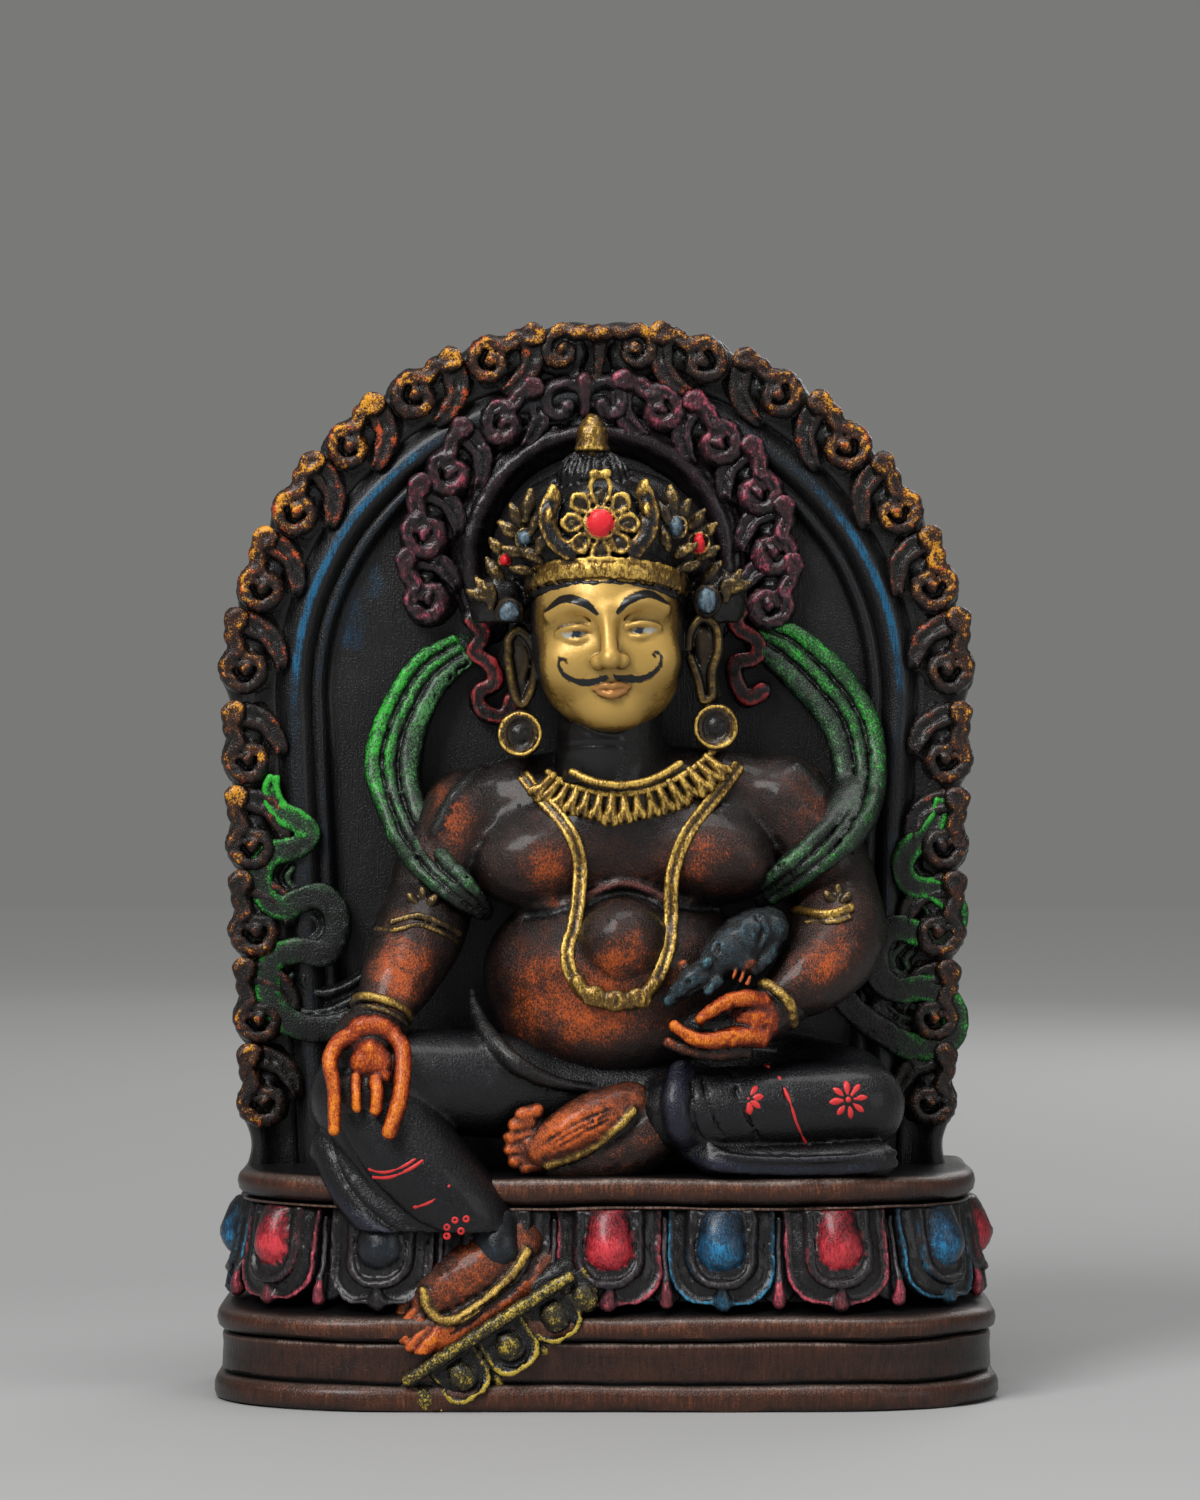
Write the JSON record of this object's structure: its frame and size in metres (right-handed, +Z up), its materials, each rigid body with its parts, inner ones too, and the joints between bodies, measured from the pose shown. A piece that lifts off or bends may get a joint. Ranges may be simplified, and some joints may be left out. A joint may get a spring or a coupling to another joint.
{
  "type": "jambhala statue",
  "caption": "Cast relief statuette of a seated big-bellied deity in front of an arched scrollwork back plate, on a lotus base that stands on a shelf.",
  "frame": {"origin": "middle of the underside, halfway between the flat back and the front of the small foot lotus", "axes": "+Z up, -Y towards the viewer (the side the figure faces), +X to the viewer's right"},
  "size_m": [0.1524, 0.064, 0.2096],
  "materials": {
    "painted_resin": "satin, dark paint with dry-brushed colours and gold"
  },
  "bodies": {
    "root": {"jambhala_statue": "painted_resin"}
  },
  "joints": []
}
